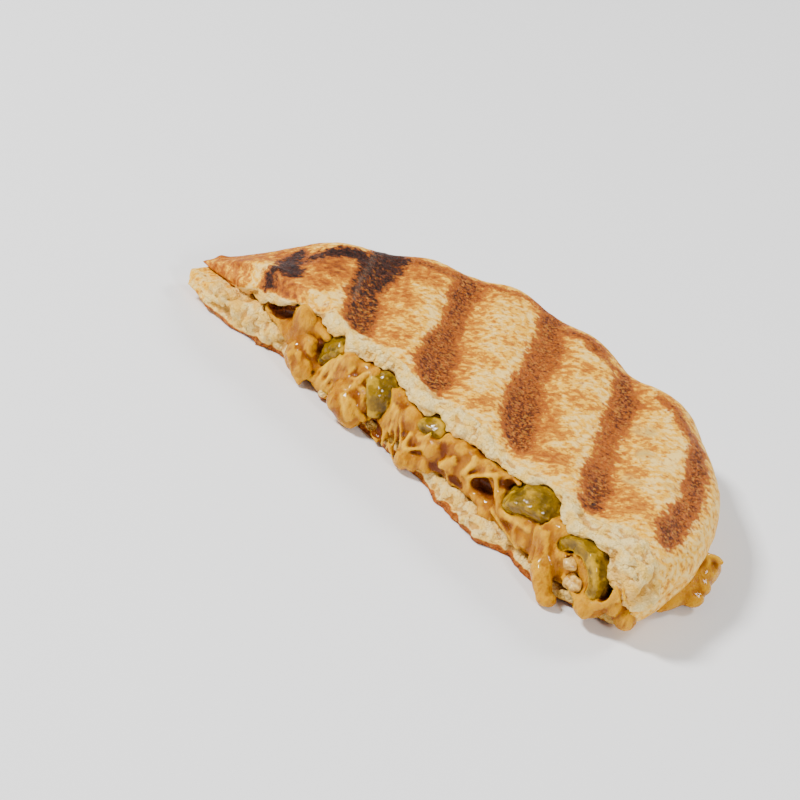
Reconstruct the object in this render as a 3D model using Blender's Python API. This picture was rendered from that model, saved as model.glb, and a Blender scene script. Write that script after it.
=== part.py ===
"""Half of a round grilled cheese bun, pressed flat between ribbed plates and torn across.

It lies on its flat underside. Inside each function X runs along the torn face, Y runs away from
it to the round rim and Z is up, with the middle of the whole bun on the axis. HALF_CENTRE then
carries the half over, so that its box stands centred on the origin.
"""
import math

import bmesh
import bpy
from mathutils import Vector, noise

# The bun, in metres
BUN_RADIUS = 0.0600
THICKNESS = 0.0163
RIM_ROUNDING = 0.0083
SEAM_HEIGHT = 0.0072
SEAM_CREASE = 0.0005
GAP = 0.0003
FLAT_SHARE = 0.80
RIM_SPLIT = 45.0
HALF_CENTRE = (-0.0045, 0.0265)

# The marks of the ribbed plate: one row of parallel grooves, turned from the torn face's normal
RIB_PITCH = 0.0179
RIB_TURN = math.radians(35.2)
RIB_OFFSET = -0.0003
RIB_WIDTH = 0.0068
RIB_DEPTH = 0.0008
RIB_SHOULDER = 0.0012
PUFF_HEIGHT = 0.0005
CRUST_WAVE = 0.0003
CRUST_WAVE_LENGTH = 0.0120

# The bun's outline as (degrees round the rim, radius): pressed in where a rib crosses the rim
RIM_OUTLINE = (
    (0.0, 0.0584), (14.0, 0.0587), (28.0, 0.0594), (50.0, 0.0607), (60.0, 0.0606), (71.0, 0.0625),
    (84.0, 0.0571), (97.0, 0.0596), (106.0, 0.0586), (118.0, 0.0623), (128.0, 0.0596),
    (136.0, 0.0618), (147.0, 0.0600), (157.0, 0.0614), (170.0, 0.0592), (180.0, 0.0592),
)

# The torn edges, as (x, y) along the half: the crust of the base, and how far the top tears back
BASE_EDGE = (
    (-0.068, -0.0030), (-0.064, -0.0050), (-0.058, -0.0046), (-0.052, -0.0034), (-0.046, -0.0028),
    (-0.040, 0.0004), (-0.030, -0.0003), (-0.006, -0.0005), (0.005, -0.0008), (0.012, -0.0026),
    (0.018, -0.0036), (0.0235, -0.0046), (0.026, -0.0034), (0.029, -0.0004), (0.034, -0.0020),
    (0.040, -0.0020), (0.046, 0.0006), (0.051, 0.0028), (0.060, 0.0070),
)
BASE_SEAM_EDGE = 0.0008
CRUST_TEAR = 0.0026
CRUST_TEAR_END = 0.0500
CRUST_NOTCH = (0.0290, 0.0080, 0.0022)
CRUMB_OVERHANG = 0.0004
CRUMB_RELIEF = 0.0009
CRUMB_LUMPS = (0.0045, 0.0020)
TEAR_REACH = 0.0140

# The left end is pulled out into a thinner tail where the bun was torn
TAIL_START = 0.0460
TAIL_LENGTH = 0.0084
TAIL_WIDTH = 0.0220
TAIL_HEIGHT = 0.0042
TAIL_THINNING = 0.80
TAIL_LIFT = 0.20
TAIL_FLAP = (-0.0400, -0.0520)

# The filling's room, as (x, z) along the torn face, and its outline as seen from above
FILLING_TOP = (
    (-0.047, 0.0100), (-0.036, 0.0126), (-0.024, 0.0112), (-0.012, 0.0128), (0.000, 0.0118),
    (0.014, 0.0126), (0.028, 0.0138), (0.042, 0.0130), (0.055, 0.0108),
)
FILLING_BASE = (
    (-0.047, 0.0062), (-0.036, 0.0038), (-0.022, 0.0030), (0.000, 0.0032), (0.016, 0.0040),
    (0.032, 0.0030), (0.044, 0.0030), (0.055, 0.0050),
)
FILLING_RADIUS = 0.0510
FILLING_SHIFT = 0.0040
FILLING_EDGE = 0.0008
FILLING_TAPER = 0.0075
CHEESE_BULGE = 0.0012
CHEESE_FOLD = 0.0013

# Hollows in the cheese at the torn face: (x, z, half width, half height, depth)
HOLLOWS = (
    (-0.0430, 0.0090, 0.0045, 0.0030, 0.0050),
    (-0.0305, 0.0095, 0.0020, 0.0030, 0.0022),
    (0.0180, 0.0080, 0.0040, 0.0024, 0.0045),
    (0.0240, 0.0115, 0.0024, 0.0020, 0.0035),
    (0.0520, 0.0080, 0.0022, 0.0034, 0.0025),
)

# Runs of melted cheese, each a list of (x, y, z, radius) from its root to its tip
DRIPS = {
    "drip_left": ((-0.0350, 0.0030, 0.0075, 0.0030), (-0.0330, -0.0006, 0.0050, 0.0034),
                  (-0.0320, -0.0018, 0.0022, 0.0030)),
    "drip_big": ((-0.0200, 0.0020, 0.0070, 0.0036), (-0.0165, -0.0020, 0.0050, 0.0040),
                 (-0.0140, -0.0030, 0.0020, 0.0033)),
    "drip_middle": ((-0.0015, 0.0020, 0.0065, 0.0024), (0.0002, -0.0014, 0.0040, 0.0022),
                    (0.0014, -0.0024, 0.0014, 0.0016)),
    "drip_long": ((0.0365, 0.0010, 0.0085, 0.0020), (0.0392, -0.0030, 0.0044, 0.0020),
                  (0.0438, -0.0050, 0.0014, 0.0020)),
    "drip_right": ((0.0490, 0.0030, 0.0070, 0.0026), (0.0500, -0.0004, 0.0046, 0.0030),
                   (0.0492, -0.0012, 0.0024, 0.0024)),
    "drip_corner": ((0.0490, 0.0020, 0.0066, 0.0018), (0.0535, 0.0020, 0.0060, 0.0024),
                    (0.0560, 0.0050, 0.0044, 0.0018)),
}

# The cheese squeezed out of the seam at the rim, as (degrees round the rim, radius out, z, radius)
OOZE = {
    "ooze_neck": ((29.0, 0.0490, 0.0072, 0.0014), (31.0, 0.0575, 0.0068, 0.0018),
                  (33.0, 0.0600, 0.0050, 0.0024)),
    "ooze_lobe": ((14.0, 0.0566, 0.0013, 0.0011), (21.0, 0.0574, 0.0020, 0.0019),
                  (29.0, 0.0594, 0.0030, 0.0030), (35.5, 0.0617, 0.0038, 0.0041)),
}


def tidy_scene():
    """Empties the scene and makes the collections for the parts and for their cutters."""
    for old in list(bpy.data.objects):
        bpy.data.objects.remove(old, do_unlink=True)
    parts = bpy.data.collections.new("grilled_cheese_half")
    cutters = bpy.data.collections.new("cutters")
    for collection in (parts, cutters):
        bpy.context.scene.collection.children.link(collection)
    return parts, cutters


def material(name, colour, roughness):
    """A plain Principled material for one sub-part."""
    made = bpy.data.materials.new(name)
    made.use_nodes = True
    shader = made.node_tree.nodes["Principled BSDF"]
    shader.inputs["Base Color"].default_value = (*colour, 1.0)
    shader.inputs["Roughness"].default_value = roughness
    shader.inputs["Metallic"].default_value = 0.0
    return made


def smooth_step(value):
    """Runs from 0 to 1 with level ends, and stays there outside."""
    held = min(max(value, 0.0), 1.0)
    return held * held * (3.0 - 2.0 * held)


def along(points, x):
    """The value at x of a curve eased through the points."""
    if x <= points[0][0]:
        return points[0][1]
    for (x0, y0), (x1, y1) in zip(points, points[1:]):
        if x <= x1:
            return y0 + (y1 - y0) * smooth_step((x - x0) / (x1 - x0))
    return points[-1][1]


def ragged(x, z, scale, seed):
    """Noise between about -1 and 1 that is the same on every run."""
    return noise.fractal(Vector((x / scale, seed, z / scale)), 1.0, 2.0, 3)


def block(columns, rows, layers):
    """A cube divided along each axis, whose corners stay at -0.5 and 0.5."""
    cube = bmesh.new()
    bmesh.ops.create_cube(cube, size=1.0)
    for axis, parts in enumerate((columns, rows, layers)):
        edges = [edge for edge in cube.edges
                 if abs(edge.verts[0].co[axis] - edge.verts[1].co[axis]) > 0.5]
        bmesh.ops.subdivide_edges(cube, edges=edges, cuts=parts - 1, use_grid_fill=True)
    return cube


def shaped(name, collection, divisions, place):
    """An object made from a divided cube, with each point moved to place(u, v, w)."""
    cube = block(*divisions)
    for vert in cube.verts:
        u, v, w = 2.0 * vert.co.x, vert.co.y + 0.5, vert.co.z + 0.5
        vert.co = place(u, v, w)
    if cube.calc_volume(signed=True) < 0.0:
        bmesh.ops.reverse_faces(cube, faces=cube.faces)
    return stored(name, collection, cube)


def stored(name, collection, made):
    """Puts a finished bmesh into a new object of the collection."""
    mesh = bpy.data.meshes.new(name)
    made.to_mesh(mesh)
    made.free()
    item = bpy.data.objects.new(name, mesh)
    collection.objects.link(item)
    return item


def half_disc(u, v):
    """The square of u and v laid out on the half disc: its distance out, 0 to 1, and its angle."""
    x = u * math.sqrt(1.0 - v * v / 2.0)
    y = v * math.sqrt(1.0 - u * u / 2.0)
    return math.hypot(x, y), math.atan2(y, x)


def rib_phase(x, y):
    """Counts ribs across the bun: a whole number lies in the middle of a mark."""
    across = x * math.cos(RIB_TURN) + y * math.sin(RIB_TURN)
    return (across - RIB_OFFSET) / RIB_PITCH


def puff(x, y):
    """1 midway between two marks and 0 in a mark."""
    return 0.5 - 0.5 * math.cos(2.0 * math.pi * rib_phase(x, y))


def rim_radius(angle):
    """The bun's radius at an angle round the rim."""
    return along(RIM_OUTLINE, math.degrees(angle))


def crust_relief(x, y):
    """How far the pressed crust stands above or below its mean height."""
    phase = rib_phase(x, y)
    off_centre = abs(phase - round(phase)) * RIB_PITCH
    groove = smooth_step((0.5 * RIB_WIDTH + RIB_SHOULDER - off_centre) / (2.0 * RIB_SHOULDER))
    wave = CRUST_WAVE * ragged(x, y, CRUST_WAVE_LENGTH, 3.0)
    return PUFF_HEIGHT * puff(x, y) - RIB_DEPTH * groove + wave


def rim_section(turn, radius):
    """Distance out and height on the rim's rounding, turn degrees above its widest level."""
    angle = math.radians(turn)
    out = radius - RIM_ROUNDING * (1.0 - math.cos(angle))
    return out, THICKNESS / 2.0 + (THICKNESS / 2.0) * math.sin(angle)


def slab_point(u, v, w, seam_z, face_turn, seam_turn):
    """A point of one bread: w is 0 at the seam and 1 on the crust; the turns are rim angles."""
    share, angle = half_disc(u, v)
    radius = rim_radius(angle)
    split_out, split_z = rim_section(face_turn * RIM_SPLIT, radius)
    seam_out = rim_section(seam_turn, radius)[0] - SEAM_CREASE
    if share <= FLAT_SHARE:
        crust_out = (radius - RIM_ROUNDING) * share / FLAT_SHARE
        crust_z = rim_section(face_turn * 90.0, radius)[1]
    else:
        turn = 90.0 - (90.0 - RIM_SPLIT) * (share - FLAT_SHARE) / (1.0 - FLAT_SHARE)
        crust_out, crust_z = rim_section(face_turn * turn, radius)
    inner_out = seam_out * share
    out = inner_out + (crust_out - inner_out) * w
    z = seam_z + (crust_z - seam_z) * w
    side_out, side_z = rim_section(seam_turn + (face_turn * RIM_SPLIT - seam_turn) * w, radius)
    crease = SEAM_CREASE * (1.0 - w) ** 4
    chord_out = seam_out + (split_out - seam_out) * w
    chord_z = seam_z + (split_z - seam_z) * w
    rounding = share ** 8 if 0.0 < w < 1.0 else 0.0
    out += (side_out - crease - chord_out) * rounding
    z += (side_z - chord_z) * rounding
    return out * math.cos(angle), out * math.sin(angle), z


def pulled(x, y, z, side):
    """Moves a point of the left end out into the tail; side, 1 or -1, keeps the breads apart."""
    pull = smooth_step((-x - TAIL_START) / (BUN_RADIUS - TAIL_START))
    pull *= 1.0 - smooth_step(y / TAIL_WIDTH)
    thinning = pull * (TAIL_THINNING if z > TAIL_HEIGHT else TAIL_LIFT)
    return x - TAIL_LENGTH * pull, y, z + (TAIL_HEIGHT - z + side * GAP / 2.0) * thinning


def torn(x, y, z, front, seed):
    """Moves a point near the torn face to its ragged place; front is the face's own y."""
    near = max(0.0, 1.0 - y / TEAR_REACH)
    coarse, fine = (ragged(x, z, size, seed) for size in CRUMB_LUMPS)
    return y + (front + CRUMB_RELIEF * (coarse + 0.5 * fine)) * near


def top_point(u, v, w):
    """A point of the upper bread."""
    seam_z = SEAM_HEIGHT + GAP / 2.0
    seam_turn = math.degrees(math.asin(2.0 * seam_z / THICKNESS - 1.0))
    x, y, z = slab_point(u, v, w, seam_z, 1.0, seam_turn)
    share = half_disc(u, v)[0]
    if w == 1.0:
        z += crust_relief(x, y) * smooth_step((1.0 - share) / (1.0 - FLAT_SHARE))
    x, y, z = pulled(x, y, z, 1.0)
    notch_x, notch_width, notch_depth = CRUST_NOTCH
    seam_front = notch_depth * smooth_step(1.0 - abs(x - notch_x) / notch_width) - CRUMB_OVERHANG
    front = seam_front + (CRUST_TEAR * puff(x, 0.0) - seam_front) * w * w
    ends = 1.0 - smooth_step((abs(x) - CRUST_TEAR_END) / (BUN_RADIUS - CRUST_TEAR_END))
    return Vector((x, torn(x, y, z, front * ends, 11.0), z))


def bottom_point(u, v, w):
    """A point of the lower bread, whose crust is the flat underside."""
    seam_z = SEAM_HEIGHT - GAP / 2.0
    seam_turn = math.degrees(math.asin(2.0 * seam_z / THICKNESS - 1.0))
    x, y, z = pulled(*slab_point(u, v, w, seam_z, -1.0, seam_turn), -1.0)
    edge = along(BASE_EDGE, x)
    flap = smooth_step((x - TAIL_FLAP[0]) / (TAIL_FLAP[1] - TAIL_FLAP[0]))
    seam_front = BASE_SEAM_EDGE + (0.85 * edge - BASE_SEAM_EDGE) * flap
    front = seam_front + (edge - seam_front) * w
    return Vector((x, torn(x, y, z, front, 23.0), z))


def filling_point(u, v, w, grow, front_y):
    """A point of the filling's room, grown all round by grow; front_y replaces the torn face."""
    rows = v ** 1.7
    share, angle = half_disc(u, rows)
    radius = FILLING_RADIUS + FILLING_SHIFT * math.cos(angle)
    x = radius * share * math.cos(angle)
    y = radius * share * math.sin(angle)
    depth = smooth_step((1.0 - share) * radius / FILLING_TAPER)
    top = SEAM_HEIGHT + FILLING_EDGE
    base = SEAM_HEIGHT - FILLING_EDGE
    top += (along(FILLING_TOP, x) - top) * depth + grow
    base += (along(FILLING_BASE, x) - base) * depth - grow
    z = base + (top - base) * w
    outward = 1.0 + grow / (radius * max(share, 0.2)) * share ** 8
    x *= outward
    y *= outward
    if v == 0.0:
        y = front_y if front_y is not None else cheese_face(x, z, w, depth)
    return Vector((x, y, z))


def cheese_face(x, z, w, depth):
    """The y of the melted cheese where it shows at the torn face."""
    y = -CHEESE_BULGE * math.sin(math.pi * w) - CHEESE_FOLD * ragged(x + 0.4 * z, z, 0.0055, 41.0)
    for hollow_x, hollow_z, half_width, half_height, deep in HOLLOWS:
        away = math.hypot((x - hollow_x) / half_width, (z - hollow_z) / half_height)
        y += deep * smooth_step(1.2 - away) * min(1.0, 5.0 * w * (1.0 - w))
    return y * depth - 0.0002


def run(name, collection, path):
    """A run of melted cheese: a ball whose rings are strung along the path, flat on the table."""
    ball = bmesh.new()
    bmesh.ops.create_uvsphere(ball, u_segments=9, v_segments=9, radius=1.0)
    spine = [Vector(point[:3]) for point in path]
    last = len(path) - 1
    for vert in ball.verts:
        place = (1.0 - math.acos(max(-1.0, min(1.0, vert.co.z))) / math.pi) * last
        index = min(int(place), last - 1)
        part = place - index
        centre = spine[index].lerp(spine[index + 1], part)
        ahead = (spine[min(index + 2, last)] - spine[max(index - 1, 0)]).normalized()
        side = ahead.cross(Vector((0.0, 0.3, 1.0))).normalized()
        other = side.cross(ahead)
        radius = path[index][3] + (path[index + 1][3] - path[index][3]) * part
        ring = math.hypot(vert.co.x, vert.co.y)
        fuller = radius * ring ** -0.5 if ring > 0.01 else 0.0
        nose = ahead * vert.co.z * radius * 0.4
        vert.co = centre + (side * vert.co.x + other * vert.co.y) * fuller + nose
        vert.co.z = max(vert.co.z, 0.0)
    bmesh.ops.remove_doubles(ball, verts=ball.verts, dist=0.00005)
    if ball.calc_volume(signed=True) < 0.0:
        bmesh.ops.reverse_faces(ball, faces=ball.faces)
    return stored(name, collection, ball)


def round_rim(points):
    """Turns points given by their angle round the rim into x, y, z, radius."""
    return tuple((out * math.cos(math.radians(angle)), out * math.sin(math.radians(angle)), z, size)
                 for angle, out, z, size in points)


def pepper(name, collection, parts, bend_radius, wall, width, arc):
    """A cut piece of pepper wall: a rounded bar bent round Y, its skin on the outside."""
    def place(u, v, w):
        angle = 0.5 * arc * u
        end = math.sqrt(max(0.0, 1.0 - u ** 6))
        across = (v - 0.5) * width * (0.55 + 0.45 * end)
        out = bend_radius + (w - 0.5) * wall * (0.5 + 0.5 * end)
        rough = 0.04 * wall * ragged(angle * bend_radius, across, 0.003, bend_radius * 900.0)
        out += rough - 0.10 * wall * (2.0 * v - 1.0) ** 2 * (2.0 * w - 1.0)
        return Vector((out * math.sin(angle), across, out * math.cos(angle) - bend_radius))
    return shaped(name, collection, parts, place)


def lump(name, collection, size, seed):
    """A pale lump of the pepper's core: a ball pressed into an uneven egg."""
    ball = bmesh.new()
    bmesh.ops.create_icosphere(ball, subdivisions=2, radius=1.0)
    for vert in ball.verts:
        swell = 1.0 + 0.25 * ragged(vert.co.x, vert.co.y + vert.co.z, 1.1, seed)
        vert.co = Vector(vert.co[i] * size[i] * swell for i in range(3))
    return stored(name, collection, ball)


def grown(item, cutters):
    """A copy of an object for cutting its neighbours, each point pushed out by a little over GAP."""
    bpy.context.view_layer.update()
    shell = bmesh.new()
    shell.from_mesh(item.data)
    shell.transform(item.matrix_world)
    shell.normal_update()
    moved = [vert.co + vert.normal * GAP * 1.25 for vert in shell.verts]
    for vert, place in zip(shell.verts, moved):
        vert.co = place
    return stored(item.name + "_cutter", cutters, shell)


def combine(item, others, operation):
    """Applies one Boolean of the other objects to the item."""
    group = bpy.data.collections.new(item.name + "_" + operation.lower())
    for other in others:
        group.objects.link(other)
    modifier = item.modifiers.new(operation.lower(), "BOOLEAN")
    modifier.operation = operation
    modifier.operand_type = "COLLECTION"
    modifier.collection = group
    modifier.solver = "EXACT"
    bpy.context.view_layer.update()
    graph = bpy.context.evaluated_depsgraph_get()
    result = bpy.data.meshes.new_from_object(item.evaluated_get(graph))
    item.modifiers.remove(modifier)
    item.data = result
    bpy.data.collections.remove(group)


def cleaned(item):
    """Merges the slivers that cutting leaves, and keeps the one large body."""
    made = bmesh.new()
    made.from_mesh(item.data)
    bmesh.ops.remove_doubles(made, verts=made.verts, dist=0.00001)
    unseen = set(made.verts)
    bodies = []
    while unseen:
        reached = [unseen.pop()]
        for vert in reached:
            for edge in vert.link_edges:
                other = edge.other_vert(vert)
                if other in unseen:
                    unseen.discard(other)
                    reached.append(other)
        bodies.append(reached)
    bodies.sort(key=len)
    for crumb in bodies[:-1]:
        bmesh.ops.delete(made, geom=crumb, context="VERTS")
    made.to_mesh(item.data)
    made.free()


def flat_faces_joined(item):
    """Turns the flat seam and underside into single faces before they are cut."""
    made = bmesh.new()
    made.from_mesh(item.data)
    inner = [edge for edge in made.edges if len(edge.link_faces) == 2
             and edge.calc_face_angle() < 0.0005 and abs(edge.link_faces[0].normal.z) > 0.9999]
    bmesh.ops.dissolve_limit(made, angle_limit=0.0005, use_dissolve_boundaries=False,
                             verts=[], edges=inner)
    made.to_mesh(item.data)
    made.free()


def build():
    """Makes every sub-part and sets it over the origin."""
    parts, cutters = tidy_scene()
    crust = material("toasted_bread", (0.80, 0.52, 0.24), 0.75)
    melted = material("melted_cheese", (0.90, 0.45, 0.03), 0.30)
    green = material("green_pepper", (0.28, 0.26, 0.02), 0.30)
    pith = material("pepper_pith", (0.75, 0.58, 0.25), 0.45)

    bread_top = shaped("bread_top", parts, (50, 22, 4), top_point)
    bread_bottom = shaped("bread_bottom", parts, (46, 12, 4), bottom_point)
    cheese = shaped("cheese_filling", parts, (42, 5, 5),
                    lambda u, v, w: filling_point(u, v, w, 0.0, None))
    room = shaped("filling_room", cutters, (42, 5, 5),
                  lambda u, v, w: filling_point(u, v, w, GAP, -0.012))

    peppers = [
        pepper("pepper_ring", parts, (12, 2, 2), 0.0056, 0.0027, 0.0048, math.radians(215.0)),
        pepper("pepper_chunk", parts, (8, 3, 2), 0.0068, 0.0034, 0.0060, math.radians(105.0)),
        pepper("pepper_bit", parts, (6, 2, 2), 0.0080, 0.0028, 0.0040, math.radians(42.0)),
        pepper("pepper_middle", parts, (8, 3, 2), 0.0090, 0.0034, 0.0058, math.radians(58.0)),
        pepper("pepper_left", parts, (8, 2, 2), 0.0090, 0.0030, 0.0046, math.radians(48.0)),
    ]
    places = [
        ((0.0466, 0.0008, 0.0122), (0.0, 20.0, -6.0)),
        ((0.0292, 0.0008, 0.0125), (28.0, -18.0, 8.0)),
        ((0.0028, 0.0006, 0.0112), (20.0, -12.0, 0.0)),
        ((-0.0108, -0.0002, 0.0092), (52.0, 68.0, 10.0)),
        ((-0.0268, 0.0008, 0.0094), (48.0, -50.0, -8.0)),
    ]
    for piece, (spot, turns) in zip(peppers, places):
        piece.location = spot
        piece.rotation_euler = [math.radians(turn) for turn in turns]
    piths = [lump("pepper_pith_large", parts, (0.0019, 0.0017, 0.0015), 5.0),
             lump("pepper_pith_small", parts, (0.0015, 0.0014, 0.0010), 9.0)]
    piths[0].location = (0.0455, -0.0011, 0.0056)
    piths[1].location = (0.0434, -0.0009, 0.0084)

    drips = [run(name, cutters, path) for name, path in DRIPS.items()]
    drips += [run(name, cutters, round_rim(path)) for name, path in OOZE.items()]

    pieces = peppers + piths
    pockets = [grown(piece, cutters) for piece in pieces]
    around_drips = [grown(drip, cutters) for drip in drips]
    combine(cheese, drips, "UNION")
    combine(cheese, pockets, "DIFFERENCE")
    for bread in (bread_top, bread_bottom):
        flat_faces_joined(bread)
        combine(bread, [room] + around_drips + pockets, "DIFFERENCE")
    for item in (bread_top, bread_bottom, cheese):
        cleaned(item)

    over_origin = bpy.data.objects.new("half_bun", None)
    over_origin.location = (-HALF_CENTRE[0], -HALF_CENTRE[1], 0.0)
    parts.objects.link(over_origin)
    finish = [(bread_top, crust), (bread_bottom, crust), (cheese, melted)]
    finish += [(piece, green) for piece in peppers]
    finish += [(piece, pith) for piece in piths]
    for item, look in finish:
        item.parent = over_origin
        item.data.materials.clear()
        item.data.materials.append(look)
        item.data.shade_smooth()
    for cutter in cutters.objects:
        cutter.hide_render = True
        cutter.display_type = "WIRE"


build()
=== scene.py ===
import math

import bpy
import numpy as np
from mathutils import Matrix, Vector


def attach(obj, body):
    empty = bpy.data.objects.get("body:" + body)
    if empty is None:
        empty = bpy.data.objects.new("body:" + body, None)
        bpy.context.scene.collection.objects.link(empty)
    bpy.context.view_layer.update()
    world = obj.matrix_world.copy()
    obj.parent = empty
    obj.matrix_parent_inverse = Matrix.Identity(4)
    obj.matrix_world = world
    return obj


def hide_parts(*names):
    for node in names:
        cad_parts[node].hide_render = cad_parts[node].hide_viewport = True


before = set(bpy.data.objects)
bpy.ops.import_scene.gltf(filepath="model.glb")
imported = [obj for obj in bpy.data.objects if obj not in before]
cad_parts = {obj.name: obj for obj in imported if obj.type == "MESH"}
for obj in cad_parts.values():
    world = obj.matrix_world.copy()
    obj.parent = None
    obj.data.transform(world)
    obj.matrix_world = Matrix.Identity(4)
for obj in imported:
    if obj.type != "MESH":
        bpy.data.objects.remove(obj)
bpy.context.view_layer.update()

# CAMERA. It looks down on the torn face from its right-hand end, rolled so that the half lies
# across the picture from upper left to lower right. BUN_MIDDLE is the centre of the round bun
# before it was torn. Every place below is given from it, in millimetres.
BUN_MIDDLE = Vector((0.0045, -0.0265, 0.0))
MM = 0.001
CAMERA_PLACE = Vector((257.5, -343.2, 257.0)) * MM + BUN_MIDDLE
PICTURE_RIGHT = Vector((0.64797, 0.70506, 0.28813))
PICTURE_UP = Vector((-0.54666, 0.16708, 0.82052))
PICTURE_WIDTH = 800.0
LENS_PIXELS = 2608.0

camera_data = bpy.data.cameras.new("camera")
camera_data.sensor_width = 36.0
camera_data.lens = 36.0 * LENS_PIXELS / PICTURE_WIDTH
camera_data.clip_start = 0.01
camera = bpy.data.objects.new("camera", camera_data)
bpy.context.scene.collection.objects.link(camera)
for column, axis in enumerate((PICTURE_RIGHT, PICTURE_UP, PICTURE_RIGHT.cross(PICTURE_UP))):
    for row in range(3):
        camera.matrix_world[row][column] = axis[row]
camera.matrix_world.translation = CAMERA_PLACE
bpy.context.scene.camera = camera

# TABLE AND LIGHT. A plain white table in an even room, with one light high on the left of the
# picture and two weaker ones to the right and behind. They are small, so that the wet cheese and
# pepper glint, and the room keeps the shadows pale and soft.
TABLE_SIZE = 6.0
TABLE_WHITE = (0.92, 0.92, 0.92, 1.0)
ROOM_STRENGTH = 0.37
LIGHTS = {
    # place and width in metres, and power in watts
    "key": ((-0.45, -0.50, 0.70), 0.16, 15.2),
    "fill": ((0.75, -0.25, 0.45), 0.14, 4.1),
    "back": ((0.10, 0.70, 0.60), 0.22, 4.7),
}


def only(piece):
    """Selects one object and makes it the active one."""
    bpy.ops.object.select_all(action="DESELECT")
    piece.select_set(True)
    bpy.context.view_layer.objects.active = piece


bpy.ops.object.select_all(action="DESELECT")
bpy.ops.mesh.primitive_plane_add(size=TABLE_SIZE, location=(0.0, 0.0, 0.0))
table = bpy.context.object
table.name = "table"
table_white = bpy.data.materials.new("table_white")
table_white.use_nodes = True
table_shader = table_white.node_tree.nodes["Principled BSDF"]
table_shader.inputs["Base Color"].default_value = TABLE_WHITE
table_shader.inputs["Roughness"].default_value = 0.6
table.data.materials.append(table_white)

world = bpy.data.worlds.new("room")
world.use_nodes = True
world.node_tree.nodes["Background"].inputs["Color"].default_value = (1.0, 1.0, 1.0, 1.0)
world.node_tree.nodes["Background"].inputs["Strength"].default_value = ROOM_STRENGTH
bpy.context.scene.world = world
for light_name, (place, size, power) in LIGHTS.items():
    light_data = bpy.data.lights.new(light_name, "AREA")
    light_data.size = size
    light_data.energy = power
    light = bpy.data.objects.new(light_name, light_data)
    light.location = place
    light.rotation_euler = (-Vector(place)).to_track_quat("-Z", "Y").to_euler()
    bpy.context.scene.collection.objects.link(light)


# BREAD. The two layers of a round white bun, pressed flat in a hot ribbed plate. Each has a thin
# smooth crust, toasted gold, with brown marks where the ribs touched it, and soft white crumb
# inside, which shows where the bun was torn.
BREAD_VOXEL = 0.45
BREAD_SMOOTHING = 13

# Clumps of crumb that stand out of the torn face: x, y, z and radius
TOP_CLUMPS = (
    (52.6, 2.4, 13.9, 3.0), (48.0, 2.6, 14.9, 2.1), (55.4, 3.4, 12.6, 2.3), (57.0, 4.6, 9.8, 2.0),
    (50.8, 1.6, 12.0, 1.8), (51.0, 5.4, 15.5, 1.7), (44.6, 1.8, 15.0, 1.4), (54.4, 6.0, 14.6, 1.8),
    (-38.8, 1.1, 13.2, 1.3), (-42.6, 0.6, 12.0, 1.3), (-34.6, 1.3, 13.5, 1.2), (-46.4, 0.6, 10.8, 1.3),
    (-50.4, 0.2, 9.4, 1.4), (-53.8, -0.2, 8.4, 1.6), (-57.2, 0.2, 7.6, 1.7), (-60.4, 1.2, 7.2, 1.7),
    (-62.8, 2.4, 7.0, 1.4), (-64.8, 3.4, 6.6, 1.2), (8.6, 1.4, 14.2, 1.1), (13.6, 1.6, 14.6, 1.2),
)
BOTTOM_CLUMPS = (
    (-57.4, -2.6, 5.2, 1.8), (-54.2, -3.0, 4.6, 1.7), (-51.4, -2.4, 3.8, 1.5), (-59.6, -2.6, 4.2, 1.3),
    (-47.4, -2.2, 3.0, 1.5), (-43.6, -1.2, 2.8, 1.3), (43.2, -0.6, 1.6, 1.4), (45.4, 0.4, 1.8, 1.3),
    (12.0, -2.0, 1.6, 1.2), (19.6, -2.8, 2.0, 1.4), (23.6, -3.2, 1.4, 1.3), (-24.0, -1.4, 1.2, 1.3),
)
# Bumps, as their size across and height. The crumb's are rounded clumps with sharp clefts.
CRUMB_BUMPS = ((4.6, 0.60), (2.3, 0.40), (1.1, 0.30))
CRUST_BUMPS = ((8.0, 0.16), (2.4, 0.11), (1.0, 0.05))
MARK_GRAIN = (0.8, 0.09)

# How far the bare crumb reaches in from the tear over the top, along x
CRUMB_REACH = ((-60, -46, -38, -25, -10, 10, 30, 40, 47, 53, 58),
               (-3.0, 0.0, 0.8, 1.8, 2.0, 2.6, 3.0, 5.0, 8.0, 8.5, 7.0))

# How high the bare crumb reaches up the torn face, along x, where the crust folds down over it
CRUST_LIP = ((-58, -50, -44, -38, -33, -29), (6.5, 9.4, 11.6, 13.0, 14.2, 19.0))

# Where parts of the bun start and end: the rim by its distance from the middle, the tail and the
# skinned flap by how far left they lie, the crisp lower edge and the cheese's stains by height
RIM = (50.0, 54.0)
TAIL = (50.5, 54.5)
FLAP = (57.5, 60.5)
CRISP_EDGE = (0.7, 1.7)
LOW_RIM = (0.8, 2.6)
TOP_STAINS = (13.2, 14.2)
BOTTOM_STAINS = (3.0, 4.6)
# The black spot that runs down over the torn edge: x, y and radius
BLACK_SPOT = (-49.0, 1.5, 9.0)

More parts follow.
